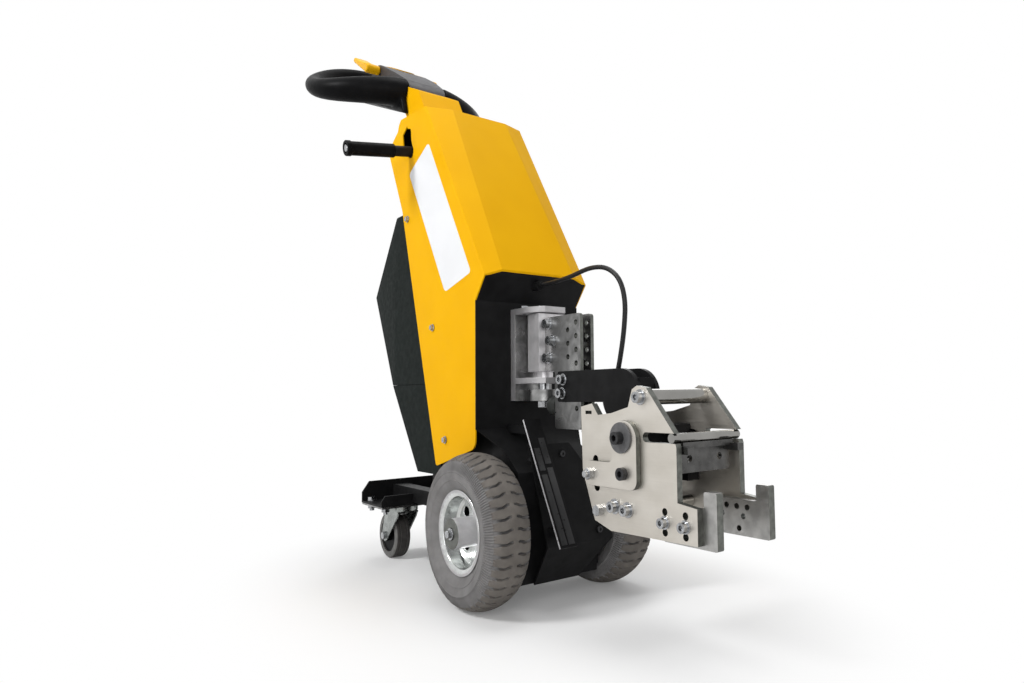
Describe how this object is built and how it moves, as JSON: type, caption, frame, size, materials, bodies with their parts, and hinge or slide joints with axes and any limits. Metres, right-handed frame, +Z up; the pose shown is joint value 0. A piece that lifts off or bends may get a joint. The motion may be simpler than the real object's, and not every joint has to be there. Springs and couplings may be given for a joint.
{
  "type": "powered load mover",
  "caption": "Pedestrian powered load mover: leaning cowl on two driven tyres and rear castors, loop tiller and a swivelling hook coupling that latches onto a load's tow bar.",
  "frame": {"origin": "the floor point straight below the middle of the drive axle", "axes": "+Z up, the coupling hooks face -Y and the operator stands at +Y, X runs across the machine along the drive axle"},
  "size_m": [0.4732, 1.2945, 1.2465],
  "materials": {
    "yellow_paint": "satin powder coat",
    "yellow_plastic": "smooth moulded",
    "black_paint": "fine powder coat",
    "green_black_paint": "fine textured powder coat",
    "black_plastic": "satin moulded",
    "grey_plastic": "fine textured moulded",
    "grey_tyre": "matt rubber",
    "grey_rubber": "matt rubber",
    "black_rubber": "matt rubber",
    "stainless": "fine brushed",
    "zinc": "zinc plated",
    "bright_zinc": "bright zinc plated",
    "black_oxide": "black oxide",
    "aluminium": "cast"
  },
  "bodies": {
    "chassis": {"base_frame": "black_paint", "upright_frame": "black_paint", "transaxle": "black_paint", "drive_motor": "black_paint", "batteries": "black_plastic", "controller": "aluminium", "cowl": "yellow_paint", "front_panel": "black_paint", "front_guard": "black_paint", "panel_gland": "black_plastic", "kick_bar": "black_paint", "bar_strips": "black_plastic", "rear_housing": "green_black_paint", "rear_cover": "green_black_paint", "rear_grab": "black_paint", "back_panel": "black_paint", "castor_tray": "black_paint", "castor_plates": "zinc", "neck": "yellow_paint", "console": "grey_plastic", "head_shell": "black_plastic", "loop_handle": "black_plastic", "hitch_bracket": "zinc", "swivel_pin": "zinc", "body_fasteners": "bright_zinc", "cable": "black_rubber"},
    "mast": {"swivel_block": "zinc", "mast_plates": "zinc", "mast_bolts": "bright_zinc", "arms": "black_paint", "buffer": "black_rubber", "carrier": "black_paint", "link_plates": "stainless", "link_screws": "black_oxide", "link_studs": "bright_zinc"},
    "coupling_head": {"head_plates": "stainless", "cross_bars": "stainless", "head_bolts": "bright_zinc", "hooks": "stainless", "actuator": "black_plastic"},
    "latch_slider": {"latch": "stainless", "actuator_rod": "stainless"},
    "lever": {"side_lever": "black_paint", "lever_grip": "black_plastic"},
    "thumb_control": {"thumb_rocker": "yellow_plastic"},
    "belly_control": {"belly_button": "black_plastic"},
    "wheel_left": {"tyre_left": "grey_tyre", "rim_left": "zinc", "axle_shaft_left": "zinc"},
    "castor_left": {"castor_fork_left": "zinc", "castor_axle_left": "bright_zinc"},
    "castor_wheel_left": {"castor_core_left": "black_plastic", "castor_tread_left": "grey_rubber"},
    "wheel_right": {"tyre_right": "grey_tyre", "rim_right": "zinc", "axle_shaft_right": "zinc"},
    "castor_right": {"castor_fork_right": "zinc", "castor_axle_right": "bright_zinc"},
    "castor_wheel_right": {"castor_core_right": "black_plastic", "castor_tread_right": "grey_rubber"}
  },
  "joints": [
    {"name": "wheel_spin_left", "type": "hinge", "parent": "chassis", "child": "wheel_left", "pos_m": [-0.132, 0, 0.13], "axis": [1, 0, 0], "continuous": true},
    {"name": "castor_swivel_left", "type": "hinge", "parent": "chassis", "child": "castor_left", "pos_m": [-0.071, 0.435, 0.11], "axis": [0, 0, 1], "continuous": true},
    {"name": "castor_spin_left", "type": "hinge", "parent": "castor_left", "child": "castor_wheel_left", "pos_m": [-0.071, 0.473, 0.05], "axis": [1, 0, 0], "continuous": true},
    {"name": "wheel_spin_right", "type": "hinge", "parent": "chassis", "child": "wheel_right", "pos_m": [0.132, 0, 0.13], "axis": [1, 0, 0], "continuous": true},
    {"name": "castor_swivel_right", "type": "hinge", "parent": "chassis", "child": "castor_right", "pos_m": [0.071, 0.435, 0.11], "axis": [0, 0, 1], "continuous": true},
    {"name": "castor_spin_right", "type": "hinge", "parent": "castor_right", "child": "castor_wheel_right", "pos_m": [0.071, 0.473, 0.05], "axis": [1, 0, 0], "continuous": true},
    {"name": "hitch_swivel", "type": "hinge", "parent": "chassis", "child": "mast", "pos_m": [0, -0.014, 0.45], "axis": [0, 0, 1], "range_deg": [-35, 35], "deforming": ["cable"]},
    {"name": "head_pitch", "type": "hinge", "parent": "mast", "child": "coupling_head", "pos_m": [0, -0.32, 0.244], "axis": [1, 0, 0], "range_deg": [-12, 12]},
    {"name": "latch_slide", "type": "slide", "parent": "coupling_head", "child": "latch_slider", "axis": [0, 1, 0], "range_m": [0, 0.044]},
    {"name": "lever_swing", "type": "hinge", "parent": "chassis", "child": "lever", "pos_m": [-0.096, 0.25, 0.907], "axis": [1, 0, 0], "range_deg": [0, 34]},
    {"name": "thumb_turn", "type": "hinge", "parent": "chassis", "child": "thumb_control", "pos_m": [0, 0.616, 1.171], "axis": [1, 0, 0], "range_deg": [-20, 20], "stiffness_Nm_per_rad": 1.5},
    {"name": "belly_press", "type": "slide", "parent": "chassis", "child": "belly_control", "axis": [0, -0.9062, -0.4229], "range_m": [0, 0.008], "stiffness_N_per_m": 600, "springref_m": -0.002}
  ]
}
